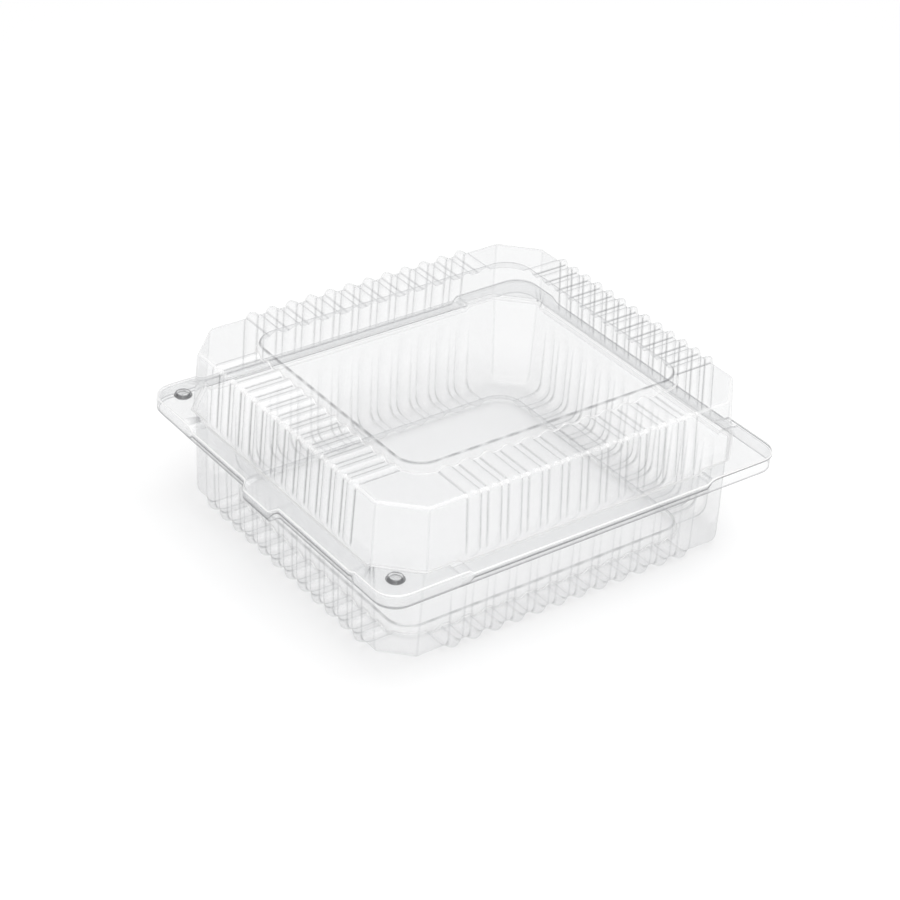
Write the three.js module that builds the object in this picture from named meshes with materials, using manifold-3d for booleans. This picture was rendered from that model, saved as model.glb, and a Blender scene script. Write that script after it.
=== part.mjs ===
// Clear hinged clamshell box: a ribbed tray and a ribbed lid, thermoformed from one film.
// Millimetres, +Z up. The origin is under the middle of the box, on the surface it stands on.
// The hinge side is +Y, the thumb tab is on the -Y side.

import * as THREE from 'three';
import Module from 'manifold-3d';

// Film and fits
const FILM = 0.45;
const LAYER_GAP = 0.3;

// Rim: the flange that runs round both halves, measured on the lid
const RIM_HALF_X = 95.2;
const RIM_HALF_Y = 105.6;
const RIM_CORNER_RADIUS = 10.5;
const RIM_TOP_Z = 46.3;
const RIM_WIDTH = 8.4;
const LID_SKIRT_DROP = 2.5;
const LID_PAD_SKIRT_DROP = 6.2;
const LID_TAB_SKIRT_DROP = 4.2;
const LID_HINGE_LIP = 1;
const TRAY_SKIRT_DROP = 4.6;

// Corner pads, raised a little above the rim, and their two snap buttons
const PAD_RISE = 1.9;
const PAD_RAMP = 2.5;
const PAD_LENGTH = 27.6;
const REAR_PAD_LENGTH = 42;
const BUTTON_RADIUS = 4.2;
const BUTTON_RISE = 1.5;
const BUTTON_DRAFT = 0.9;
const BUTTON_INSET = 11.5;

// Thumb tab in the middle of the front rim
const TAB_HALF = 13;
const TAB_REACH = 3;
const TAB_DIP = 2.5;
const TAB_BLEND = 2.6;

// Lid
const LID_SHOULDER_HEIGHT = 31.6;
const LID_SHOULDER_ROUND = 3.4;
const LID_DRAFT = 1.6;
const LID_FOOT_CHAMFER = 16.5;
const LID_TOP_CHAMFER = 14;
const WINDOW_INSET = 17.7;
const WINDOW_RISE = 4.4;
const WINDOW_DRAFT = 1.5;
const WINDOW_CORNER_RADIUS = 14;

// Tray
const MOUTH_INSET = 1.6;
const TRAY_MOUTH_CHAMFER = 14.8;
const TRAY_FLOOR_CHAMFER = 13;
const TRAY_DRAFT = 0.8;
const TRAY_EDGE_ROUND = 6;
const FLOOR_PANEL_INSET = 15.5;
const FLOOR_PANEL_RISE = 3.6;
const FLOOR_PANEL_DRAFT = 1.2;
const FLOOR_PANEL_RADIUS = 13;

// Ribs that wrap the walls, the edges and the flat borders
const LID_RIBS = { countX: 13, pitchX: 8.77, countY: 12, pitchY: 10.45 };
const TRAY_RIBS = { countX: 12, pitchX: 10.67, countY: 12, pitchY: 11.3 };
const RIB_FOOT_SHARE = 0.3;
const RIB_CREST_SHARE = 0.15;
const RIB_HEIGHT = 1.6;
const LID_RIB_START = 0.8;
const TRAY_RIB_START = 0.5;
const RIB_SHOULDER_LEAN = 0.3;
const SKIN_SHOULDER_LEAN = 0.4;
const RIB_FADE = 5;
const RIB_END_GAP = 1.6;

// Corner arcs are drawn with this many straight steps
const ARC_STEPS = 4;
const BUTTON_SIDES = 20;

const FILM_LOOK = { color: 0xe9eef0, roughness: 0.08, metalness: 0, transparent: true, opacity: 0.35 };

const wallHalfX = RIM_HALF_X - RIM_WIDTH;
const wallHalfY = RIM_HALF_Y - RIM_WIDTH;
const SIDE_TURN = 2;
const SIDES = [
  { along: [1, 0], out: [0, -1] },
  { along: [0, 1], out: [1, 0] },
  { along: [-1, 0], out: [0, 1] },
  { along: [0, -1], out: [-1, 0] },
];

// Where the raised pad begins on the half of a side that lies towards direction (-1 or 1)
function padStart(side, direction) {
  if (side % 2 === 0) return RIM_HALF_X - PAD_LENGTH;
  const rear = direction * SIDES[side].along[1] > 0;
  return RIM_HALF_Y - (rear ? REAR_PAD_LENGTH : PAD_LENGTH);
}

// Share of a corner pad at a point of the rim: 0 between the pads, 1 on them
function padShare({ side, u }) {
  return THREE.MathUtils.clamp((Math.abs(u) - padStart(side, Math.sign(u))) / PAD_RAMP, 0, 1);
}

// Share of the thumb tab at a point of the rim: 1 on the tab, 0 beside it
function tabShare({ side, u }) {
  if (side !== 0) return 0;
  return THREE.MathUtils.clamp((TAB_HALF - Math.abs(u)) / TAB_BLEND, 0, 1);
}

// Places along one side where the ribbed rings have points: four for each rib
function ribStations({ countX, pitchX, countY, pitchY }) {
  return (side) => {
    const count = side % 2 === 0 ? countX : countY;
    const pitch = side % 2 === 0 ? pitchX : pitchY;
    const foot = pitch * RIB_FOOT_SHARE;
    const crest = pitch * RIB_CREST_SHARE;
    const stations = [];
    for (let k = 0; k < count; k += 1) {
      const centre = (k - (count - 1) / 2) * pitch;
      stations.push([centre - foot, 0], [centre - crest, 1], [centre + crest, 1], [centre + foot, 0]);
    }
    return stations;
  };
}

// The same places on a ring that the ribs don't reach
function ribFeet(ribs) {
  return (side) => ribStations(ribs)(side).map(([u]) => [u, 0]);
}

function byPlace([a], [b]) {
  return a - b;
}

// Places along one side where the rim rings have points: the pad ramps, and the tab's ends
function rimStations(side) {
  const places = [];
  for (const direction of [-1, 1]) {
    const start = padStart(side, direction);
    places.push(direction * start, direction * (start + PAD_RAMP));
    if (side === 0) places.push(direction * TAB_HALF, direction * (TAB_HALF - TAB_BLEND));
  }
  return places.sort((a, b) => a - b).map((u) => [u, 0]);
}

// One ring of points round the box, anticlockwise from above, starting on the front side. Each
// point keeps its plan position, its outward direction and its place s in the turn, which is
// 0 to SIDE_TURN on the front side and so on round.
function ring({ halfX, halfY, corner, round = 0, stations = () => [] }) {
  const points = [];
  SIDES.forEach(({ along, out }, side) => {
    const reach = side % 2 === 0 ? halfY : halfX;
    const run = (side % 2 === 0 ? halfX : halfY) - (corner || round);
    const nextRun = reach - (corner || round);
    const turnAt = (u) => SIDE_TURN * (side + 0.5) + u / (side % 2 === 0 ? RIM_HALF_X : RIM_HALF_Y);
    const nextTurn = SIDE_TURN * (side + 1.5) - nextRun / (side % 2 === 0 ? RIM_HALF_Y : RIM_HALF_X);
    const place = (u, rib, normal) => {
      const x = along[0] * u + out[0] * reach;
      const y = along[1] * u + out[1] * reach;
      points.push({ x, y, rib, side, u, normal, s: turnAt(u) });
    };
    const miter = Math.tan(Math.PI / 8);
    if (corner) place(-run, 0, [out[0] - along[0] * miter, out[1] - along[1] * miter]);
    for (const [u, rib] of stations(side)) place(u, rib, out);
    if (corner) {
      place(run, 0, [out[0] + along[0] * miter, out[1] + along[1] * miter]);
      return;
    }
    for (let step = 0; step <= ARC_STEPS; step += 1) {
      const share = step / ARC_STEPS;
      const angle = (Math.PI / 2) * share;
      const normal = [
        out[0] * Math.cos(angle) + along[0] * Math.sin(angle),
        out[1] * Math.cos(angle) + along[1] * Math.sin(angle),
      ];
      const x = along[0] * run + out[0] * (reach - round) + normal[0] * round;
      const y = along[1] * run + out[1] * (reach - round) + normal[1] * round;
      const u = run + round * Math.sin(angle);
      const s = THREE.MathUtils.lerp(turnAt(run), nextTurn, share);
      points.push({ x, y, rib: 0, side, u, normal, s });
    }
  });
  return points.sort((a, b) => a.s - b.s);
}

// A ring's points in space. lift and push move a point up and outward, ribOut and ribUp say
// where a rib stands proud, and skin is where the film's other face lies.
function level(points, { z, push = () => 0, lift = () => 0, ribOut = 0, ribUp = 0, skin }) {
  return points.map((p) => {
    const out = push(p) + p.rib * ribOut;
    const up = z + lift(p) + p.rib * ribUp;
    const face = new THREE.Vector3(p.x + p.normal[0] * out, p.y + p.normal[1] * out, up);
    const back = face.clone().add(new THREE.Vector3(p.normal[0] * skin[0], p.normal[1] * skin[0], skin[1]));
    return { face, back, s: p.s };
  });
}

// The film between two rings, which may have different numbers of points
function stitch(triangles, lower, upper) {
  const n = lower.length;
  const m = upper.length;
  let i = 0;
  let j = 0;
  while (i < n || j < m) {
    const nextLower = i < n - 1 ? lower[i + 1].s : i < n ? lower[0].s + SIDES.length * SIDE_TURN : Infinity;
    const nextUpper = j < m - 1 ? upper[j + 1].s : j < m ? upper[0].s + SIDES.length * SIDE_TURN : Infinity;
    if (nextLower <= nextUpper) {
      triangles.push([lower[i % n], lower[(i + 1) % n], upper[j % m]]);
      i += 1;
    } else {
      triangles.push([lower[i % n], upper[(j + 1) % m], upper[j % m]]);
      j += 1;
    }
  }
}

// A closed film: the face side of all rings, the back side, the rim edge and both centres
function film(levels) {
  const triangles = [];
  for (let k = 0; k < levels.length - 1; k += 1) stitch(triangles, levels[k], levels[k + 1]);
  const last = levels[levels.length - 1];
  const middle = { face: new THREE.Vector3(0, 0, last[0].face.z), back: new THREE.Vector3(0, 0, last[0].back.z) };
  last.forEach((point, k) => triangles.push([point, last[(k + 1) % last.length], middle]));
  const corners = [];
  for (const [a, b, c] of triangles) {
    corners.push(a.face, b.face, c.face);
    corners.push(a.back, c.back, b.back);
  }
  const edge = levels[0];
  edge.forEach((point, k) => {
    const next = edge[(k + 1) % edge.length];
    corners.push(point.face, point.back, next.face);
    corners.push(next.face, point.back, next.back);
  });
  return new THREE.BufferGeometry().setFromPoints(corners);
}

const wasm = await Module();
wasm.setup();

// Solids: a geometry's shared corners are merged, so that it can be joined and cut
function toSolid(geometry) {
  const position = geometry.index ? geometry.toNonIndexed().attributes.position : geometry.attributes.position;
  const seen = new Map();
  const vertices = [];
  const triangles = [];
  for (let k = 0; k < position.count; k += 1) {
    const corner = [position.getX(k), position.getY(k), position.getZ(k)];
    const key = corner.map((value) => Math.round(value * 1e4)).join(',');
    if (!seen.has(key)) {
      seen.set(key, seen.size);
      vertices.push(...corner);
    }
    triangles.push(seen.get(key));
  }
  const indices = [];
  for (let k = 0; k < triangles.length; k += 3) {
    const [a, b, c] = triangles.slice(k, k + 3);
    if (a !== b && b !== c && a !== c) indices.push(a, b, c);
  }
  const mesh = new wasm.Mesh({
    numProp: 3,
    vertProperties: new Float32Array(vertices),
    triVerts: new Uint32Array(indices),
  });
  return new wasm.Manifold(mesh);
}

function toGeometry(solid) {
  const mesh = solid.getMesh();
  const geometry = new THREE.BufferGeometry();
  geometry.setAttribute('position', new THREE.BufferAttribute(new Float32Array(mesh.vertProperties), 3));
  geometry.setIndex(new THREE.BufferAttribute(new Uint32Array(mesh.triVerts), 1));
  return geometry;
}

// A round post that narrows upward, standing at x, y from one height to another
function post(x, y, bottom, top, bottomRadius, topRadius) {
  const geometry = new THREE.CylinderGeometry(topRadius, bottomRadius, top - bottom, BUTTON_SIDES);
  geometry.rotateX(Math.PI / 2);
  geometry.translate(x, y, (top + bottom) / 2);
  return toSolid(geometry);
}

// The snap buttons: hollow cups pressed up out of the two front pads
function addButtons(solid, padZ, radius) {
  let result = solid;
  for (const direction of [-1, 1]) {
    const x = direction * (RIM_HALF_X - BUTTON_INSET);
    const y = -(RIM_HALF_Y - BUTTON_INSET);
    const cup = post(x, y, padZ - FILM, padZ + BUTTON_RISE, radius, radius - BUTTON_DRAFT);
    const hollowRise = BUTTON_RISE - FILM;
    const hollow = post(x, y, padZ - 2 * FILM, padZ + hollowRise, radius - FILM, radius - FILM - BUTTON_DRAFT);
    result = result.add(cup).subtract(hollow);
  }
  return result;
}

// The rim's outline and height, shared by both halves: inset draws the tray's inside the lid's
function rimRing(inset) {
  return ring({
    halfX: RIM_HALF_X - inset,
    halfY: RIM_HALF_Y - inset,
    round: RIM_CORNER_RADIUS - inset,
    stations: rimStations,
  });
}

function rimLift(p) {
  return PAD_RISE * padShare(p) - TAB_DIP * tabShare(p);
}

function rimPush(p) {
  return TAB_REACH * tabShare(p);
}

function footLift(p) {
  return PAD_RISE * padShare(p);
}

// How far the lid's skirt hangs below its rim: deep at the front pads and the tab, and only a
// lip at the hinge side, so that the lid can swing over without meeting the tray
function lidSkirt(p) {
  if (p.y > RIM_HALF_Y - REAR_PAD_LENGTH + PAD_RAMP / 2) return LID_HINGE_LIP;
  const deepest = Math.max(padShare(p) * LID_PAD_SKIRT_DROP, tabShare(p) * LID_TAB_SKIRT_DROP);
  return Math.max(deepest, LID_SKIRT_DROP);
}

function buildLid() {
  const rim = rimRing(0);
  const foot = ring({
    halfX: wallHalfX,
    halfY: wallHalfY,
    corner: LID_FOOT_CHAMFER,
    stations: (side) => [...rimStations(side), ...ribFeet(LID_RIBS)(side)].sort(byPlace),
  });
  const topHalfX = wallHalfX - LID_DRAFT - LID_SHOULDER_ROUND;
  const topHalfY = wallHalfY - LID_DRAFT - LID_SHOULDER_ROUND;
  const ribbed = (inset, corner) => ring({
    halfX: topHalfX + inset,
    halfY: topHalfY + inset,
    corner,
    stations: ribStations(LID_RIBS),
  });
  const shoulderZ = RIM_TOP_Z + LID_SHOULDER_HEIGHT;
  const windowX = topHalfX - WINDOW_INSET;
  const windowY = topHalfY - WINDOW_INSET;
  const windowFoot = ring({ halfX: windowX, halfY: windowY, round: WINDOW_CORNER_RADIUS });
  const windowEdge = ring({
    halfX: windowX - WINDOW_DRAFT,
    halfY: windowY - WINDOW_DRAFT,
    round: WINDOW_CORNER_RADIUS - WINDOW_DRAFT,
  });
  const fadeZ = RIM_TOP_Z + PAD_RISE + RIB_FADE;
  const fadeShare = (fadeZ - RIM_TOP_Z) / (LID_SHOULDER_HEIGHT - LID_SHOULDER_ROUND);
  const both = [-FILM, -FILM];
  const wallTopChamfer = LID_TOP_CHAMFER + LID_SHOULDER_ROUND * (2 - Math.SQRT2);
  const fadeChamfer = LID_FOOT_CHAMFER + (wallTopChamfer - LID_FOOT_CHAMFER) * fadeShare;
  const borderEnd = ribbed(RIB_END_GAP - WINDOW_INSET, WINDOW_CORNER_RADIUS * (2 - Math.SQRT2));
  const levels = [
    level(rim, {
      z: RIM_TOP_Z,
      push: rimPush,
      lift: (p) => rimLift(p) - lidSkirt(p),
      skin: [-FILM, 0],
    }),
    level(rim, { z: RIM_TOP_Z, push: rimPush, lift: rimLift, skin: both }),
    level(foot, { z: RIM_TOP_Z, lift: footLift, skin: both }),
    level(ribbed(LID_SHOULDER_ROUND + LID_DRAFT * (1 - fadeShare), fadeChamfer), {
      z: fadeZ,
      ribOut: RIB_HEIGHT * LID_RIB_START,
      skin: [-FILM, 0],
    }),
    level(ribbed(LID_SHOULDER_ROUND, wallTopChamfer), {
      z: shoulderZ - LID_SHOULDER_ROUND,
      ribOut: RIB_HEIGHT,
      ribUp: RIB_HEIGHT * RIB_SHOULDER_LEAN,
      skin: [-FILM, -FILM * SKIN_SHOULDER_LEAN],
    }),
    level(ribbed(0, LID_TOP_CHAMFER), {
      z: shoulderZ,
      ribOut: RIB_HEIGHT * RIB_SHOULDER_LEAN,
      ribUp: RIB_HEIGHT,
      skin: [-FILM * SKIN_SHOULDER_LEAN, -FILM],
    }),
    level(borderEnd, { z: shoulderZ, ribUp: RIB_HEIGHT, skin: [0, -FILM] }),
    level(windowFoot, { z: shoulderZ, skin: both }),
    level(windowEdge, { z: shoulderZ + WINDOW_RISE, skin: both }),
  ];
  return addButtons(toSolid(film(levels)), RIM_TOP_Z + PAD_RISE, BUTTON_RADIUS);
}

function buildTray() {
  const trayRimZ = RIM_TOP_Z - FILM - LAYER_GAP;
  const rimInset = FILM + LAYER_GAP;
  const rim = rimRing(rimInset);
  const mouthX = wallHalfX - MOUTH_INSET;
  const mouthY = wallHalfY - MOUTH_INSET;
  const mouth = ring({
    halfX: mouthX,
    halfY: mouthY,
    corner: TRAY_MOUTH_CHAMFER,
    stations: (side) => [...rimStations(side), ...ribFeet(TRAY_RIBS)(side)].sort(byPlace),
  });
  const floorX = mouthX - TRAY_DRAFT - TRAY_EDGE_ROUND;
  const floorY = mouthY - TRAY_DRAFT - TRAY_EDGE_ROUND;
  const floorZ = RIB_HEIGHT + FILM;
  const ribbed = (inset, corner) => ring({
    halfX: floorX + inset,
    halfY: floorY + inset,
    corner,
    stations: ribStations(TRAY_RIBS),
  });
  const panelX = floorX + TRAY_EDGE_ROUND - FLOOR_PANEL_INSET;
  const panelY = floorY + TRAY_EDGE_ROUND - FLOOR_PANEL_INSET;
  const panelFoot = ring({ halfX: panelX, halfY: panelY, round: FLOOR_PANEL_RADIUS });
  const panelEdge = ring({
    halfX: panelX - FLOOR_PANEL_DRAFT,
    halfY: panelY - FLOOR_PANEL_DRAFT,
    round: FLOOR_PANEL_RADIUS - FLOOR_PANEL_DRAFT,
  });
  const edgeTopZ = floorZ + TRAY_EDGE_ROUND;
  const fadeZ = trayRimZ - RIB_FADE;
  const fadeShare = RIB_FADE / (trayRimZ - edgeTopZ);
  const edgeMiddle = TRAY_EDGE_ROUND * (1 - Math.SQRT1_2);
  const cornerAt = (share) => TRAY_MOUTH_CHAMFER + (TRAY_FLOOR_CHAMFER - TRAY_MOUTH_CHAMFER) * share;
  const floorCorner = TRAY_FLOOR_CHAMFER - TRAY_EDGE_ROUND * (2 - Math.SQRT2);
  const middleCorner = TRAY_FLOOR_CHAMFER - edgeMiddle * (2 - Math.SQRT2);
  const borderEndInset = panelX + RIB_END_GAP - floorX;
  const skinDown = [0, -FILM];
  const both = [-FILM, -FILM];
  const levels = [
    level(rim, {
      z: trayRimZ - TRAY_SKIRT_DROP,
      push: rimPush,
      lift: (p) => -TAB_DIP * tabShare(p),
      skin: [-FILM, 0],
    }),
    level(rim, { z: trayRimZ, push: rimPush, lift: rimLift, skin: both }),
    level(mouth, { z: trayRimZ, lift: footLift, skin: [FILM, -FILM] }),
    level(ribbed(TRAY_EDGE_ROUND + TRAY_DRAFT * (1 - fadeShare), cornerAt(fadeShare)), {
      z: fadeZ,
      ribOut: RIB_HEIGHT * TRAY_RIB_START,
      skin: [FILM, 0],
    }),
    level(ribbed(TRAY_EDGE_ROUND, TRAY_FLOOR_CHAMFER), {
      z: edgeTopZ,
      ribOut: RIB_HEIGHT,
      skin: [FILM, 0],
    }),
    level(ribbed(TRAY_EDGE_ROUND - edgeMiddle, middleCorner), {
      z: floorZ + edgeMiddle,
      ribOut: RIB_HEIGHT * Math.SQRT1_2,
      ribUp: -RIB_HEIGHT * Math.SQRT1_2,
      skin: [FILM * Math.SQRT1_2, -FILM * Math.SQRT1_2],
    }),
    level(ribbed(0, floorCorner), { z: floorZ, ribUp: -RIB_HEIGHT, skin: skinDown }),
    level(ribbed(borderEndInset, FLOOR_PANEL_RADIUS * (2 - Math.SQRT2)), {
      z: floorZ,
      ribUp: -RIB_HEIGHT,
      skin: skinDown,
    }),
    level(panelFoot, { z: floorZ, skin: both }),
    level(panelEdge, { z: floorZ + FLOOR_PANEL_RISE, skin: both }),
  ];
  const nestRadius = BUTTON_RADIUS - FILM - LAYER_GAP;
  return addButtons(toSolid(film(levels)), trayRimZ + PAD_RISE, nestRadius);
}

function piece(name, solid) {
  const mesh = new THREE.Mesh(toGeometry(solid), new THREE.MeshStandardMaterial(FILM_LOOK));
  mesh.name = name;
  return mesh;
}

// The thumb tab reaches out at the front only, so the box is moved back by half its reach to
// keep the origin under the middle
const box = new THREE.Group();
for (const mesh of [piece('tray', buildTray()), piece('lid', buildLid())]) {
  mesh.geometry.translate(0, TAB_REACH / 2, 0);
  box.add(mesh);
}

export default box;
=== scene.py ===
import math

import bpy
from mathutils import Matrix, Vector


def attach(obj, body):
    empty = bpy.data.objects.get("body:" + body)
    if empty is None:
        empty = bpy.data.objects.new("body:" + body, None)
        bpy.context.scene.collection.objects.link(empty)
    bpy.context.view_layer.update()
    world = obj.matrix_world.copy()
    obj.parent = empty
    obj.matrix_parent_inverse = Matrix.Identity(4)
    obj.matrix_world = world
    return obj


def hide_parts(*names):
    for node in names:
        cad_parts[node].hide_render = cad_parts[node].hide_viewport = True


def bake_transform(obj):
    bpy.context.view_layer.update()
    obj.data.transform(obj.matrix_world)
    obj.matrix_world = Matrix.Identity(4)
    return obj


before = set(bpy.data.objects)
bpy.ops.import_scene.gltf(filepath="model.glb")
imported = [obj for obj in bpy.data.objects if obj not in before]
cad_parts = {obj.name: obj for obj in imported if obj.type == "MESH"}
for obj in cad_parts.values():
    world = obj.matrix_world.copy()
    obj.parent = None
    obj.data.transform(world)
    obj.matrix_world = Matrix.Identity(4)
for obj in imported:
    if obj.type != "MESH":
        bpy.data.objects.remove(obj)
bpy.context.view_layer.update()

bl_info = {
    "name": "Hinged Clear Box",
    "version": (1, 0, 0),
    "blender": (4, 5, 0),
    "location": "View3D > Sidebar > Clear Box",
    "description": "Models a clear hinged takeaway box with a ribbed lid and tray",
    "category": "Object",
}

MM = 0.001

# Sides of the box in turn, seen from above: the direction along each and the one out of it
SIDES = (
    ((1, 0), (0, -1)),
    ((0, 1), (1, 0)),
    ((-1, 0), (0, 1)),
    ((0, -1), (-1, 0)),
)
SAMPLES_PER_RIB = 12
END_SAMPLES = 10
CORNER_SAMPLES = 12
# Radius of the upright edges of the cut-off corners, in mm
CORNER_ROUND = 2.2
CORNER_STEPS = 3

# How many ribs the front and back have and how far apart they are in mm, then the two sides
LID_RIBS = ((13, 8.77), (12, 10.45))
TRAY_RIBS = ((12, 10.67), (12, 11.3))

# Raised pads on the rims' corners, in mm
PAD_LENGTH = 27.6
REAR_PAD_LENGTH = 42.0
PAD_RAMP = 2.5

# Depths of the lid's hem below its rim, in mm
HEM_DROP = 2.5
PAD_HEM_DROP = 6.2
TAB_HEM_DROP = 4.2
HINGE_HEM_DROP = 1.0

# The lid above its rim, in mm
LID_HEIGHT = 31.6
LID_SLOPE = 1.8
LID_CHAMFER = 16.5
LID_CHAMFER_LOSS = 0.6
LID_PANEL_INSET = 22.7
LID_PANEL_RISE = 4.4
LID_PANEL_SLOPE = 1.5
LID_PANEL_CORNER = 14.0

# The tray below its rim, in mm
TRAY_HEM_DROP = 4.6
MOUTH_INSET = 1.6
TRAY_SLOPE = 1.0
TRAY_CHAMFER = 14.8
TRAY_CHAMFER_LOSS = 2.0
FLOOR_CLEARANCE = 0.05
FLOOR_PANEL_INSET = 16.3
FLOOR_PANEL_RISE = 3.6
FLOOR_PANEL_SLOPE = 1.2
FLOOR_PANEL_CORNER = 13.0

# Snap buttons, in mm
BUTTON_INSET = 11.5
BUTTON_RADIUS = 4.2
BUTTON_TOP_RADIUS = 3.3
BUTTON_HEIGHT = 1.5
BUTTON_EDGE = 0.5

# The strip folded between the rims at the back, in mm
STRIP_HALF = 62.0
STRIP_BULGE = 0.85
STRIP_FILM = 0.25
STRIP_COLUMNS = 40
STRIP_STEPS = 12

SMOOTH_ANGLE = math.radians(50)
# How strongly the painted shade lines and the painted highlight show at an inner corner of the film
# beside an outer one
INNER_SHARE = 0.75
# Rows of film in a raised panel and its edge, where no glint is shown
PANEL_ROWS = 12


class BoxSizes(bpy.types.PropertyGroup):
    film: bpy.props.FloatProperty(
        name="Film", description="Thickness of the film, in mm", default=0.4)
    rim_half_x: bpy.props.FloatProperty(
        name="Rim half width", description="Middle to the rim's side edge, in mm", default=95.2)
    rim_half_y: bpy.props.FloatProperty(
        name="Rim half depth", description="Middle to the rim's hinge edge, in mm", default=105.6)
    rim_round: bpy.props.FloatProperty(
        name="Rim corner", description="Radius of the rim's corners, in mm", default=10.5)
    rim_width: bpy.props.FloatProperty(
        name="Rim width", description="Width of the flat rim, in mm", default=8.4)
    rim_z: bpy.props.FloatProperty(
        name="Rim height", description="Height of the lid's rim, in mm", default=46.3)
    nest: bpy.props.FloatProperty(
        name="Nesting step", description="From the lid's rim to the tray's rim, in mm", default=0.75)
    pad_rise: bpy.props.FloatProperty(
        name="Pad rise", description="How far the corner pads stand up, in mm", default=1.9)
    tab_half: bpy.props.FloatProperty(
        name="Tab half width", description="Half the width of the thumb tab, in mm", default=13.0)
    tab_reach: bpy.props.FloatProperty(
        name="Tab reach", description="How far the thumb tab reaches out, in mm", default=3.0)
    tab_dip: bpy.props.FloatProperty(
        name="Tab dip", description="How far the thumb tab lies below the rim, in mm", default=2.5)
    rib_height: bpy.props.FloatProperty(
        name="Rib height", description="How far the ribs stand proud, in mm", default=1.6)


class BoxLooks(bpy.types.PropertyGroup):
    film_colour: bpy.props.FloatVectorProperty(
        name="Film colour", description="Colour of the clear film", subtype="COLOR",
        size=4, min=0, max=1, default=(0.74, 0.75, 0.765, 1.0))
    # Painted shade: the dark colour painted into the film along its sharp bends, standing in for
    # refraction there
    painted_line_colour: bpy.props.FloatVectorProperty(
        name="Line colour", description="Colour of the film where it bends sharply",
        subtype="COLOR", size=4, min=0, max=1, default=(0.085, 0.088, 0.094, 1.0))
    clear_alpha: bpy.props.FloatProperty(
        name="Face-on haze", description="How much film seen square on hides", default=0.045,
        subtype="FACTOR", min=0, max=1)
    edge_alpha: bpy.props.FloatProperty(
        name="Edge-on haze", description="How much film seen edge on hides", default=0.66,
        subtype="FACTOR", min=0, max=1)
    floor_colour: bpy.props.FloatVectorProperty(
        name="Floor colour", description="Colour of the floor", subtype="COLOR",
        size=4, min=0, max=1, default=(0.93, 0.93, 0.93, 1.0))


def smooth(value):
    value = min(max(value, 0.0), 1.0)
    return value * value * (3 - 2 * value)


def lerp(a, b, share):
    return a + (b - a) * share


def pad_start(sizes, side, direction):
    """Where the raised corner pad begins on one half of a side."""
    if side % 2 == 0:
        return sizes.rim_half_x - PAD_LENGTH
    rear = direction * SIDES[side][0][1] > 0
    return sizes.rim_half_y - (REAR_PAD_LENGTH if rear else PAD_LENGTH)


def pad_share(sizes, side, u):
    return smooth((abs(u) - pad_start(sizes, side, 1 if u > 0 else -1)) / PAD_RAMP)


def tab_share(sizes, side, u):
    return smooth((sizes.tab_half + 1 - abs(u)) / 4.6) if side == 0 else 0.0


def rib_share(ribs, side, u):
    """Height of the ribs at a place along a side: 0 in the valleys, 1 on the crests."""
    count, pitch = ribs[side % 2]
    if abs(u) > count * pitch / 2:
        return 0.0
    phase = u / pitch + (count - 1) / 2
    distance = abs(phase - round(phase))
    return math.cos(math.pi / 2 * min(distance * 3, 1.0))


def outline(points, samples):
    """Evenly spaced points along a corner's path."""
    lengths = [0.0]
    for a, b in zip(points, points[1:]):
        lengths.append(lengths[-1] + math.dist(a, b))

    def at(distance):
        for k in range(len(points) - 1):
            if distance <= lengths[k + 1] or k == len(points) - 2:
                share = (distance - lengths[k]) / max(lengths[k + 1] - lengths[k], 1e-9)
                return [lerp(points[k][i], points[k + 1][i], share) for i in (0, 1)]

    result = []
    for k in range(samples):
        result.append(at(lengths[-1] * (k + 1) / (samples + 1)))
    return result


def ring(half_x, half_y, ribs, corner=0.0, round_corner=0.0):
    """Points round the box: each has its plan place, its side, u along it and its way out."""
    points = []
    for side, (along, out) in enumerate(SIDES):
        reach, span = (half_y, half_x) if side % 2 == 0 else (half_x, half_y)
        count, pitch = ribs[side % 2]
        next_count, next_pitch = ribs[(side + 1) % 2]
        end, next_end = count * pitch / 2, next_count * next_pitch / 2
        steps = count * SAMPLES_PER_RIB
        cut = corner or round_corner

        def depth(u, run):
            if corner or abs(u) <= run:
                return 0.0
            over = min((abs(u) - run) / round_corner, 1.0)
            return round_corner * (1 - math.sqrt(1 - over * over))

        def put(u, q, side_u=None):
            x = along[0] * u + out[0] * q
            y = along[1] * u + out[1] * q
            points.append((x, y, side, u if side_u is None else side_u, out))

        run = span - cut
        for k in range(steps + 1):
            u = -end + 2 * end * k / steps
            put(u, reach - depth(u, run))
        samples = 2 * END_SAMPLES + CORNER_SAMPLES
        if corner:
            tangent = CORNER_ROUND * math.tan(math.pi / 8)
            turns = [math.pi / 4 * k / CORNER_STEPS for k in range(CORNER_STEPS + 1)]
            first = [(run - tangent + CORNER_ROUND * math.sin(a),
                      reach - CORNER_ROUND * (1 - math.cos(a))) for a in turns]
            last = [(span - CORNER_ROUND * (1 - math.cos(a)),
                     reach - cut - tangent + CORNER_ROUND * math.sin(a)) for a in reversed(turns)]
            inner = CORNER_SAMPLES - 2 * CORNER_STEPS
            path = [(lerp(end, first[0][0], (k + 1) / END_SAMPLES), reach)
                    for k in range(END_SAMPLES - 1)] + first
            path += [[lerp(first[-1][i], last[0][i], (k + 1) / (inner + 1)) for i in (0, 1)]
                     for k in range(inner)]
            path += last + [(span, lerp(last[-1][1], next_end, (k + 1) / END_SAMPLES))
                            for k in range(END_SAMPLES - 1)]
            for p, q in path:
                put(p, q, max(p, end))
        else:
            start = math.asin(min(max((end - run) / cut, 0.0), 1.0))
            stop = math.pi / 2 - math.asin(min(max((next_end - reach + cut) / cut, 0.0), 1.0))
            arc = [lerp(start, stop, k / 16) for k in range(17)]
            path = [(run + cut * math.sin(a), reach - cut + cut * math.cos(a)) for a in arc]
            if end < run:
                path.insert(0, (end, reach))
            if next_end < reach - cut:
                path.append((span, next_end))
            for p, q in outline(path, samples):
                put(p, q, max(p, end))
    return points


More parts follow.
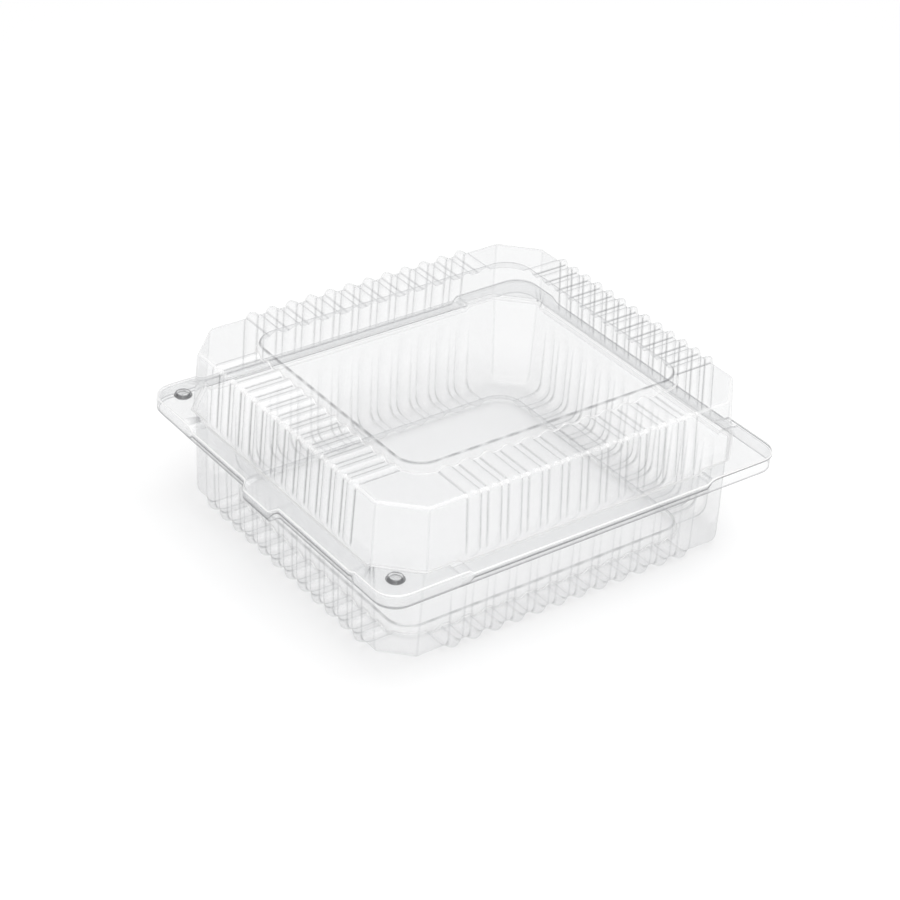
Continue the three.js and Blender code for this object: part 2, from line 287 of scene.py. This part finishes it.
def row(points, ribs, z, rib_out=0.0, rib_up=0.0, lift=None, push=None):
    """One row of the film in space, in millimetres."""
    result = []
    for x, y, side, u, out in points:
        share = rib_share(ribs, side, u)
        away = share * rib_out + (push(side, u, y) if push else 0.0)
        up = z + share * rib_up + (lift(side, u, y) if lift else 0.0)
        result.append(Vector((x + out[0] * away, y + out[1] * away, up)))
    return result


def rounded(rows):
    """Adds rows so that the film bends over a radius where two stretches of it meet."""
    result = []
    for k, (radius, steps, points) in enumerate(rows):
        if not radius or k in (0, len(rows) - 1):
            result.append(points)
            continue
        before, after = rows[k - 1][2], rows[k + 1][2]
        for step in range(-1, steps + 2):
            share = min(max(step / steps, 0), 1)
            reach = 1.12 if step in (-1, steps + 1) else 1.0
            new = []
            for a, p, b in zip(before, points, after):
                back = (a - p).normalized() * min(radius, (a - p).length * 0.42) * reach
                ahead = (b - p).normalized() * min(radius, (b - p).length * 0.42) * reach
                new.append(p + back * (1 - share) ** 2 + ahead * share ** 2)
            result.append(new)
    return result


def select_none():
    if bpy.context.object and bpy.context.object.mode != "OBJECT":
        bpy.ops.object.mode_set(mode="OBJECT")
    bpy.ops.object.select_all(action="DESELECT")


def turn_at(a, p, b, across=None):
    """How sharply a path turns at its middle point, per millimetre, or the sheet it lies in."""
    before, after = p - a, b - p
    step = (before.length + after.length) / 2
    if across:
        before, after = before.cross(across), after.cross(across)
    if before.length < 1e-6 or after.length < 1e-6:
        return 0.0
    return before.angle(after) / step


def bulge(below, p, above):
    """How far the film stands out at a point, in mm: it is below 0 in an inner corner."""
    out = Vector((p.x, p.y, 0)).normalized()
    out.z = 1.0
    return (p - (below + above) / 2).dot(out)


def painted_bend_lines(rows):
    """How sharply the film is bent at each point, 0 to 1, which sets the dark lines of painted shade
    drawn there in place of refraction.
    """
    columns = len(rows[0])
    result = []
    for r, points in enumerate(rows):
        for k in range(columns + 1):
            a, p, b = points[(k - 1) % columns], points[k % columns], points[(k + 1) % columns]
            turn = 0.0
            if 0 < r < len(rows) - 5:
                below, above = rows[r - 1][k % columns], rows[r + 1][k % columns]
                folded = turn_at(below, p, above, b - a)
                if bulge(below, p, above) <= 0:
                    folded *= INNER_SHARE
                turn = max(turn_at(a, p, b, above - below), folded)
            result.append(smooth((turn - 0.3) / 0.5) if r < len(rows) - 4 else 0.0)
    return result


def shine(rows):
    """Where the film is bent over a shoulder or in at a foot, 0 to 1: a painted highlight makes it
    whiter there.
    """
    result = []
    for r, points in enumerate(rows):
        for k in range(len(points) + 1):
            p = points[k % len(points)]
            share = 0.0
            if 2 < r < len(rows) - PANEL_ROWS:
                below, above = rows[r - 1][k % len(points)], rows[r + 1][k % len(points)]
                share = smooth((turn_at(below, p, above) - 0.2) / 0.3)
                if bulge(below, p, above) <= 0:
                    share *= INNER_SHARE
            result.append(share)
    return result


def film_mesh(name, rows, thickness, shift):
    """A sheet formed over the rows and closed in the middle, its hem turned in by its thickness."""
    select_none()
    hem = [Vector((p.x, p.y, 0)).normalized() * thickness for p in rows[0]]
    inside = [p - way for p, way in zip(rows[0], hem)]
    rows = [[p + Vector((0, 0, 2 * thickness)) for p in inside], inside] + rows
    columns = len(rows[0])
    bpy.ops.mesh.primitive_grid_add(x_subdivisions=columns, y_subdivisions=len(rows) - 1, size=1)
    piece = bpy.context.object
    piece.name = name
    piece.location = (0, 0, 0)
    coordinates = []
    for points in rows:
        for k in range(columns + 1):
            p = points[k % columns]
            coordinates += [p.x * MM, (p.y + shift) * MM, p.z * MM]
    piece.data.vertices.foreach_set("co", coordinates)
    # Masks for the painted shade lines at sharp bends and the painted highlight at shoulders and
    # feet
    piece.data.attributes.new("painted_bend_shade", "FLOAT", "POINT").data.foreach_set("value", painted_bend_lines(rows))
    piece.data.attributes.new("glint", "FLOAT", "POINT").data.foreach_set("value", shine(rows))
    bpy.ops.object.mode_set(mode="EDIT")
    bpy.ops.mesh.select_all(action="SELECT")
    bpy.ops.mesh.remove_doubles(threshold=1e-6)
    bpy.ops.object.mode_set(mode="OBJECT")
    bpy.ops.object.shade_smooth_by_angle(angle=SMOOTH_ANGLE)
    return piece


def inner_rows(last, z):
    """Rows that close the flat middle inside the last ring."""
    return [(0, 0, [Vector((p.x * s, p.y * s, z)) for p in last]) for s in (0.8, 0.5, 0.2, 0.0)]


def film_material(looks):
    material = bpy.data.materials.new("clear_film")
    material.use_nodes = True
    nodes, links = material.node_tree.nodes, material.node_tree.links
    shader = nodes["Principled BSDF"]
    shader.inputs["Roughness"].default_value = 0.09
    shader.inputs["IOR"].default_value = 1.57
    facing = nodes.new("ShaderNodeLayerWeight")
    facing.inputs["Blend"].default_value = 0.17
    haze = nodes.new("ShaderNodeMapRange")
    haze.inputs["To Min"].default_value = looks.clear_alpha
    haze.inputs["To Max"].default_value = looks.edge_alpha
    place = nodes.new("ShaderNodeTexCoord")
    streaks = nodes.new("ShaderNodeTexNoise")
    streaks.inputs["Scale"].default_value = 38.0
    streaks.inputs["Detail"].default_value = 2.0
    bump = nodes.new("ShaderNodeBump")
    bump.inputs["Strength"].default_value = 0.12
    bump.inputs["Distance"].default_value = 0.0006
    # Painted shade: dark lines along sharp bends darken the colour and raise the alpha, in place of
    # refraction
    painted_bend_shade = nodes.new("ShaderNodeAttribute")
    painted_bend_shade.attribute_name = "painted_bend_shade"
    painted_line_tint = nodes.new("ShaderNodeMix")
    painted_line_tint.data_type = "RGBA"
    painted_line_tint.inputs["A"].default_value = looks.film_colour
    painted_line_tint.inputs["B"].default_value = looks.painted_line_colour
    # Painted highlight: the glint mask whitens the colour and raises the alpha where the film bends
    # over a shoulder or at a foot
    glint = nodes.new("ShaderNodeAttribute")
    glint.attribute_name = "glint"
    whiten = nodes.new("ShaderNodeMix")
    whiten.data_type = "RGBA"
    whiten.inputs["B"].default_value = (0.95, 0.95, 0.95, 1.0)
    links.new(glint.outputs["Fac"], whiten.inputs["Factor"])
    links.new(painted_line_tint.outputs["Result"], whiten.inputs["A"])
    cover = nodes.new("ShaderNodeMath")
    cover.operation = "MULTIPLY_ADD"
    cover.use_clamp = True
    cover.inputs[1].default_value = 0.12
    links.new(glint.outputs["Fac"], cover.inputs[0])
    painted_line_alpha = nodes.new("ShaderNodeMath")
    painted_line_alpha.operation = "MULTIPLY_ADD"
    painted_line_alpha.use_clamp = True
    painted_line_alpha.inputs[1].default_value = 0.56
    links.new(painted_bend_shade.outputs["Fac"], painted_line_tint.inputs["Factor"])
    links.new(whiten.outputs["Result"], shader.inputs["Base Color"])
    links.new(facing.outputs["Facing"], haze.inputs["Value"])
    links.new(painted_bend_shade.outputs["Fac"], painted_line_alpha.inputs[0])
    links.new(haze.outputs["Result"], painted_line_alpha.inputs[2])
    links.new(painted_line_alpha.outputs["Value"], cover.inputs[2])
    links.new(cover.outputs["Value"], shader.inputs["Alpha"])
    gloss = nodes.new("ShaderNodeBsdfGlossy")
    gloss.inputs["Roughness"].default_value = 0.07
    glance = nodes.new("ShaderNodeMath")
    glance.operation = "MULTIPLY_ADD"
    glance.inputs[1].default_value = 0.26
    glance.inputs[2].default_value = 0.02
    links.new(facing.outputs["Facing"], glance.inputs[0])
    both = nodes.new("ShaderNodeMixShader")
    links.new(bump.outputs["Normal"], gloss.inputs["Normal"])
    links.new(glance.outputs["Value"], both.inputs["Fac"])
    links.new(shader.outputs["BSDF"], both.inputs[1])
    links.new(gloss.outputs["BSDF"], both.inputs[2])
    links.new(both.outputs["Shader"], nodes["Material Output"].inputs["Surface"])
    links.new(place.outputs["Object"], streaks.inputs["Vector"])
    links.new(streaks.outputs["Fac"], bump.inputs["Height"])
    links.new(bump.outputs["Normal"], shader.inputs["Normal"])
    return material


def shared_film():
    found = bpy.data.materials.get("clear_film_look")
    if found:
        return found
    material = film_material(bpy.context.scene.box_looks)
    material.name = "clear_film_look"
    return material


class MakeLid(bpy.types.Operator):
    """Form the ribbed lid with its rim, pads, thumb tab and raised panel"""
    bl_idname = "clear_box.make_lid"
    bl_label = "Lid"

    def execute(self, context):
        s = context.scene.box_sizes
        wall_x, wall_y = s.rim_half_x - s.rim_width, s.rim_half_y - s.rim_width
        top_z = s.rim_z + LID_HEIGHT
        rim = ring(s.rim_half_x, s.rim_half_y, LID_RIBS, round_corner=s.rim_round)

        def lift(side, u, y):
            return s.pad_rise * pad_share(s, side, u) - s.tab_dip * tab_share(s, side, u)

        def push(side, u, y):
            return s.tab_reach * tab_share(s, side, u)

        def foot_lift(side, u, y):
            return s.pad_rise * pad_share(s, side, u)

        def hem(side, u, y):
            if y > s.rim_half_y - REAR_PAD_LENGTH + PAD_RAMP / 2:
                return lift(side, u, y) - HINGE_HEM_DROP
            deepest = max(pad_share(s, side, u) * PAD_HEM_DROP,
                          tab_share(s, side, u) * TAB_HEM_DROP, HEM_DROP)
            return lift(side, u, y) - deepest

        def wall(height, rib_out, rib_up=0.0):
            share = height / LID_HEIGHT
            points = ring(wall_x - LID_SLOPE * share, wall_y - LID_SLOPE * share, LID_RIBS,
                          corner=LID_CHAMFER - LID_CHAMFER_LOSS * share)
            return row(points, LID_RIBS, s.rim_z + height, rib_out, rib_up,
                       lift=lambda side, u, y: foot_lift(side, u, y) * (1 - smooth(share * 3)))

        panel_x, panel_y = wall_x - LID_PANEL_INSET, wall_y - LID_PANEL_INSET
        foot = ring(panel_x, panel_y, LID_RIBS, round_corner=LID_PANEL_CORNER)
        edge = ring(panel_x - LID_PANEL_SLOPE, panel_y - LID_PANEL_SLOPE, LID_RIBS,
                    round_corner=LID_PANEL_CORNER - LID_PANEL_SLOPE)
        rib = s.rib_height
        edge_row = row(edge, LID_RIBS, top_z + LID_PANEL_RISE)
        rows = [
            (0, 0, row(rim, LID_RIBS, s.rim_z, lift=hem, push=push)),
            (0.7, 4, row(rim, LID_RIBS, s.rim_z, lift=lift, push=push)),
            (1.0, 3, wall(0, 0)),
            (0, 0, wall(1.6, 0)),
            (0, 0, wall(2.8, rib * 0.45)),
            (0, 0, wall(4.5, rib * 0.8)),
            (0, 0, wall(12, rib)),
            (0, 0, wall(20, rib)),
            (2.4, 7, wall(LID_HEIGHT, rib, rib)),
            (0.5, 3, row(foot, LID_RIBS, top_z, rib_up=rib)),
            (1.2, 5, edge_row),
        ] + inner_rows(edge_row, top_z + LID_PANEL_RISE)
        lid = film_mesh("lid_shell", rounded(rows), s.film, s.tab_reach / 2)
        lid.data.materials.append(shared_film())
        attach(lid, "lid")
        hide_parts("lid")
        return {"FINISHED"}


class MakeTray(bpy.types.Operator):
    """Form the ribbed tray with its rim, floor ribs and raised floor panel"""
    bl_idname = "clear_box.make_tray"
    bl_label = "Tray"

    def execute(self, context):
        s = context.scene.box_sizes
        rim_z = s.rim_z - s.nest
        rim = ring(s.rim_half_x - s.nest, s.rim_half_y - s.nest, TRAY_RIBS,
                   round_corner=s.rim_round - s.nest)
        mouth_x = s.rim_half_x - s.rim_width - MOUTH_INSET
        mouth_y = s.rim_half_y - s.rim_width - MOUTH_INSET
        rib = s.rib_height
        floor_z = rib + FLOOR_CLEARANCE

        def lift(side, u, y):
            return s.pad_rise * pad_share(s, side, u) - s.tab_dip * tab_share(s, side, u)

        def push(side, u, y):
            return s.tab_reach * tab_share(s, side, u)

        def hem(side, u, y):
            return -s.tab_dip * tab_share(s, side, u)

        def wall(drop, rib_out, rib_up=0.0):
            share = drop / (rim_z - floor_z)
            points = ring(mouth_x - TRAY_SLOPE * share, mouth_y - TRAY_SLOPE * share, TRAY_RIBS,
                          corner=TRAY_CHAMFER - TRAY_CHAMFER_LOSS * share)
            return row(points, TRAY_RIBS, rim_z - drop, rib_out, rib_up, lift=lambda side, u, y:
                       s.pad_rise * pad_share(s, side, u) * (1 - smooth(share * 3)))

        panel_x, panel_y = mouth_x - FLOOR_PANEL_INSET, mouth_y - FLOOR_PANEL_INSET
        foot = ring(panel_x, panel_y, TRAY_RIBS, round_corner=FLOOR_PANEL_CORNER)
        edge = ring(panel_x - FLOOR_PANEL_SLOPE, panel_y - FLOOR_PANEL_SLOPE, TRAY_RIBS,
                    round_corner=FLOOR_PANEL_CORNER - FLOOR_PANEL_SLOPE)
        edge_row = row(edge, TRAY_RIBS, floor_z + FLOOR_PANEL_RISE)
        rows = [
            (0, 0, row(rim, TRAY_RIBS, rim_z - TRAY_HEM_DROP, lift=hem, push=push)),
            (0.7, 4, row(rim, TRAY_RIBS, rim_z, lift=lift, push=push)),
            (1.4, 4, wall(0, 0)),
            (0, 0, wall(4, 0)),
            (0, 0, wall(8, rib * 0.4)),
            (0, 0, wall(16, rib * 0.7)),
            (0, 0, wall(26, rib * 0.9)),
            (6.2, 9, wall(rim_z - floor_z, rib, -rib)),
            (0.6, 3, row(foot, TRAY_RIBS, floor_z, rib_up=-rib)),
            (1.4, 5, edge_row),
        ] + inner_rows(edge_row, floor_z + FLOOR_PANEL_RISE)
        tray = film_mesh("tray_shell", rounded(rows), s.film, s.tab_reach / 2)
        tray.data.materials.append(shared_film())
        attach(tray, "tray")
        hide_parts("tray")
        return {"FINISHED"}


class MakeButtons(bpy.types.Operator):
    """Press the two snap buttons out of the front pads of the lid and of the tray"""
    bl_idname = "clear_box.make_buttons"
    bl_label = "Snap buttons"

    def execute(self, context):
        s = context.scene.box_sizes
        for name, body, way, step in (
            ("left", "lid", -1, 0.0), ("right", "lid", 1, 0.0),
            ("left", "tray", -1, s.nest), ("right", "tray", 1, s.nest),
        ):
            select_none()
            place = (way * (s.rim_half_x - BUTTON_INSET) * MM,
                     (s.tab_reach / 2 - s.rim_half_y + BUTTON_INSET) * MM,
                     (s.rim_z + s.pad_rise + BUTTON_HEIGHT / 2 - step) * MM)
            bpy.ops.mesh.primitive_cone_add(
                vertices=40, radius1=(BUTTON_RADIUS - step) * MM,
                radius2=(BUTTON_TOP_RADIUS - step) * MM, depth=BUTTON_HEIGHT * MM,
                end_fill_type="NGON", location=place)
            button = bpy.context.object
            button.name = body + "_button_" + name
            bpy.ops.object.transform_apply(location=True, rotation=True, scale=True)
            bpy.ops.object.mode_set(mode="EDIT")
            bpy.ops.mesh.select_all(action="DESELECT")
            bpy.ops.object.mode_set(mode="OBJECT")
            base = min(v.co.z for v in button.data.vertices)
            for face in button.data.polygons:
                face.select = all(
                    button.data.vertices[v].co.z < base + 1e-5 for v in face.vertices)
            bpy.ops.object.mode_set(mode="EDIT")
            bpy.ops.mesh.select_mode(type="FACE")
            bpy.ops.mesh.delete(type="ONLY_FACE")
            bpy.ops.object.mode_set(mode="OBJECT")
            rounding = button.modifiers.new("rounding", "BEVEL")
            rounding.width = BUTTON_EDGE * MM
            rounding.segments = 4
            rounding.limit_method = "ANGLE"
            bpy.ops.object.modifier_apply(modifier=rounding.name)
            bpy.ops.object.shade_smooth_by_angle(angle=SMOOTH_ANGLE)
            top = max(v.co.z for v in button.data.vertices)
            # Painted shade: dark lines painted round each button's rims, in place of refraction at
            # its edges
            centre = Vector((place[0], place[1], 0))
            painted_rim_lines = []
            for v in button.data.vertices:
                out = (Vector((v.co.x, v.co.y, 0)) - centre).length
                edge = top - 0.0006 < v.co.z < top - 0.0001 or v.co.z < base + 1e-5
                painted_rim_lines.append(1.0 if edge or (v.co.z > top - 0.0006 and out > 0.003) else 0.0)
            button.data.attributes.new("painted_bend_shade", "FLOAT", "POINT").data.foreach_set("value", painted_rim_lines)
            button.data.materials.append(shared_film())
            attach(button, body)
        return {"FINISHED"}


class MakeHinge(bpy.types.Operator):
    """Join the lid's rim to the tray's rim with the folded strip at the back"""
    bl_idname = "clear_box.make_hinge"
    bl_label = "Fold strip"

    def execute(self, context):
        s = context.scene.box_sizes
        select_none()
        bpy.ops.mesh.primitive_grid_add(
            x_subdivisions=STRIP_COLUMNS, y_subdivisions=STRIP_STEPS, size=1)
        strip = bpy.context.object
        strip.name = "fold_strip"
        strip.location = (0, 0, 0)
        lower = Vector((0, s.rim_half_y - s.nest + 0.05, s.rim_z - s.nest - 0.9))
        upper = Vector((0, s.rim_half_y + 0.02, s.rim_z - 0.5))
        coordinates = []
        for k in range(STRIP_STEPS + 1):
            share = k / STRIP_STEPS
            p = lower.lerp(upper, share)
            p.y += STRIP_BULGE * math.sin(math.pi * share) ** 0.6
            for column in range(STRIP_COLUMNS + 1):
                x = lerp(-STRIP_HALF, STRIP_HALF, column / STRIP_COLUMNS)
                coordinates += [x * MM, (p.y + s.tab_reach / 2) * MM, p.z * MM]
        strip.data.vertices.foreach_set("co", coordinates)
        bpy.ops.object.mode_set(mode="EDIT")
        bpy.ops.mesh.select_all(action="SELECT")
        bpy.ops.mesh.flip_normals()
        bpy.ops.object.mode_set(mode="OBJECT")
        skin = strip.modifiers.new("film", "SOLIDIFY")
        skin.thickness = STRIP_FILM * MM
        skin.offset = -1
        bpy.ops.object.modifier_apply(modifier=skin.name)
        bpy.ops.object.shade_smooth_by_angle(angle=SMOOTH_ANGLE)
        strip.data.materials.append(shared_film())
        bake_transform(strip)
        return {"FINISHED"}


class MakeStage(bpy.types.Operator):
    """Set the pale floor, the soft light and the camera at the photograph's angle"""
    bl_idname = "clear_box.make_stage"
    bl_label = "Stage"

    def execute(self, context):
        s = context.scene.box_sizes
        scene = context.scene
        scene.view_settings.view_transform = "Standard"
        select_none()
        bpy.ops.mesh.primitive_plane_add(size=8, location=(0, 0, -0.0002))
        floor = bpy.context.object
        floor.name = "floor"
        paint = bpy.data.materials.new("pale_floor")
        paint.use_nodes = True
        shader = paint.node_tree.nodes["Principled BSDF"]
        shader.inputs["Base Color"].default_value = scene.box_looks.floor_colour
        shader.inputs["Roughness"].default_value = 0.9
        shader.inputs["Specular IOR Level"].default_value = 0.0
        floor.data.materials.append(paint)
        nodes, links = paint.node_tree.nodes, paint.node_tree.links
        place = nodes.new("ShaderNodeTexCoord")
        far = nodes.new("ShaderNodeVectorMath")
        far.operation = "LENGTH"
        fade = nodes.new("ShaderNodeMapRange")
        fade.interpolation_type = "SMOOTHSTEP"
        fade.inputs["From Min"].default_value = 0.25
        fade.inputs["From Max"].default_value = 0.75
        seen = nodes.new("ShaderNodeLightPath")
        share = nodes.new("ShaderNodeMath")
        share.operation = "MULTIPLY"
        white = nodes.new("ShaderNodeEmission")
        both = nodes.new("ShaderNodeMixShader")
        links.new(place.outputs["Object"], far.inputs[0])
        links.new(far.outputs["Value"], fade.inputs["Value"])
        links.new(fade.outputs["Result"], share.inputs[0])
        links.new(seen.outputs["Is Camera Ray"], share.inputs[1])
        links.new(share.outputs["Value"], both.inputs["Fac"])
        links.new(shader.outputs["BSDF"], both.inputs[1])
        links.new(white.outputs["Emission"], both.inputs[2])
        links.new(both.outputs["Shader"], nodes["Material Output"].inputs["Surface"])

        world = bpy.data.worlds.new("studio")
        scene.world = world
        world.use_nodes = True
        background = world.node_tree.nodes["Background"]
        background.inputs["Color"].default_value = (1, 1, 1, 1)
        background.inputs["Strength"].default_value = 0.70
        nodes, links = world.node_tree.nodes, world.node_tree.links
        backdrop = nodes.new("ShaderNodeBackground")
        backdrop.inputs["Color"].default_value = (1, 1, 1, 1)
        seen = nodes.new("ShaderNodeLightPath")
        both = nodes.new("ShaderNodeMixShader")
        links.new(seen.outputs["Is Camera Ray"], both.inputs["Fac"])
        links.new(background.outputs["Background"], both.inputs[1])
        links.new(backdrop.outputs["Background"], both.inputs[2])
        links.new(both.outputs["Shader"], nodes["World Output"].inputs["Surface"])
        for name, place, size, power in (
            ("key", (0.1, 0.3, 2.4), 2.0, 28.0),
            ("fill", (0.9, -0.6, 0.7), 0.8, 2.5),
        ):
            bpy.ops.object.light_add(type="AREA", location=place)
            lamp = bpy.context.object
            lamp.name = name
            lamp.data.size = size
            lamp.data.energy = power
            aim = Vector((0, 0, 0.03)) - Vector(place)
            lamp.rotation_mode = "QUATERNION"
            lamp.rotation_quaternion = aim.to_track_quat("-Z", "Y")

        phi, rise, distance = 0.6576916, 0.5552898, 1138.5622
        lens, swing, nod, roll = 2557.2687, -0.0042571, -0.0100236, 0.0564044
        ahead = -Vector((math.cos(phi) * math.cos(rise), -math.sin(phi) * math.cos(rise),
                         math.sin(rise)))
        right = ahead.cross(Vector((0, 0, 1))).normalized()
        up = right.cross(ahead)
        look = (ahead + right * swing + up * nod).normalized()
        across = look.cross(Vector((0, 0, 1))).normalized()
        upward = across.cross(look)
        side_way = across * math.cos(roll) + upward * math.sin(roll)
        up_way = upward * math.cos(roll) - across * math.sin(roll)
        place = -ahead * distance + Vector((0, s.tab_reach / 2, s.rim_z))
        bpy.ops.object.camera_add(location=place * MM)
        camera = bpy.context.object
        camera.name = "photo_camera"
        turn = Matrix((side_way, up_way, -look)).transposed()
        camera.rotation_mode = "QUATERNION"
        camera.rotation_quaternion = turn.to_quaternion()
        camera.data.sensor_width = 36
        camera.data.lens = lens / 900 * 36
        camera.data.clip_start = 0.01
        camera.data.clip_end = 20
        scene.camera = camera
        return {"FINISHED"}


class BoxPanel(bpy.types.Panel):
    bl_label = "Clear Box"
    bl_idname = "VIEW3D_PT_clear_box"
    bl_space_type = "VIEW_3D"
    bl_region_type = "UI"
    bl_category = "Clear Box"

    def draw(self, context):
        layout = self.layout
        for group in (context.scene.box_sizes, context.scene.box_looks):
            for name in group.__annotations__:
                layout.prop(group, name)
        for operator in OPERATORS:
            layout.operator(operator.bl_idname)


OPERATORS = (MakeTray, MakeLid, MakeButtons, MakeHinge, MakeStage)
CLASSES = (BoxSizes, BoxLooks) + OPERATORS + (BoxPanel,)


def register():
    for cls in CLASSES:
        bpy.utils.register_class(cls)
    bpy.types.Scene.box_sizes = bpy.props.PointerProperty(type=BoxSizes)
    bpy.types.Scene.box_looks = bpy.props.PointerProperty(type=BoxLooks)


def unregister():
    del bpy.types.Scene.box_looks
    del bpy.types.Scene.box_sizes
    for cls in reversed(CLASSES):
        bpy.utils.unregister_class(cls)


def main():
    register()
    bpy.ops.clear_box.make_tray()
    bpy.ops.clear_box.make_lid()
    bpy.ops.clear_box.make_buttons()
    bpy.ops.clear_box.make_hinge()
    bpy.ops.clear_box.make_stage()


if __name__ == "__main__":
    main()
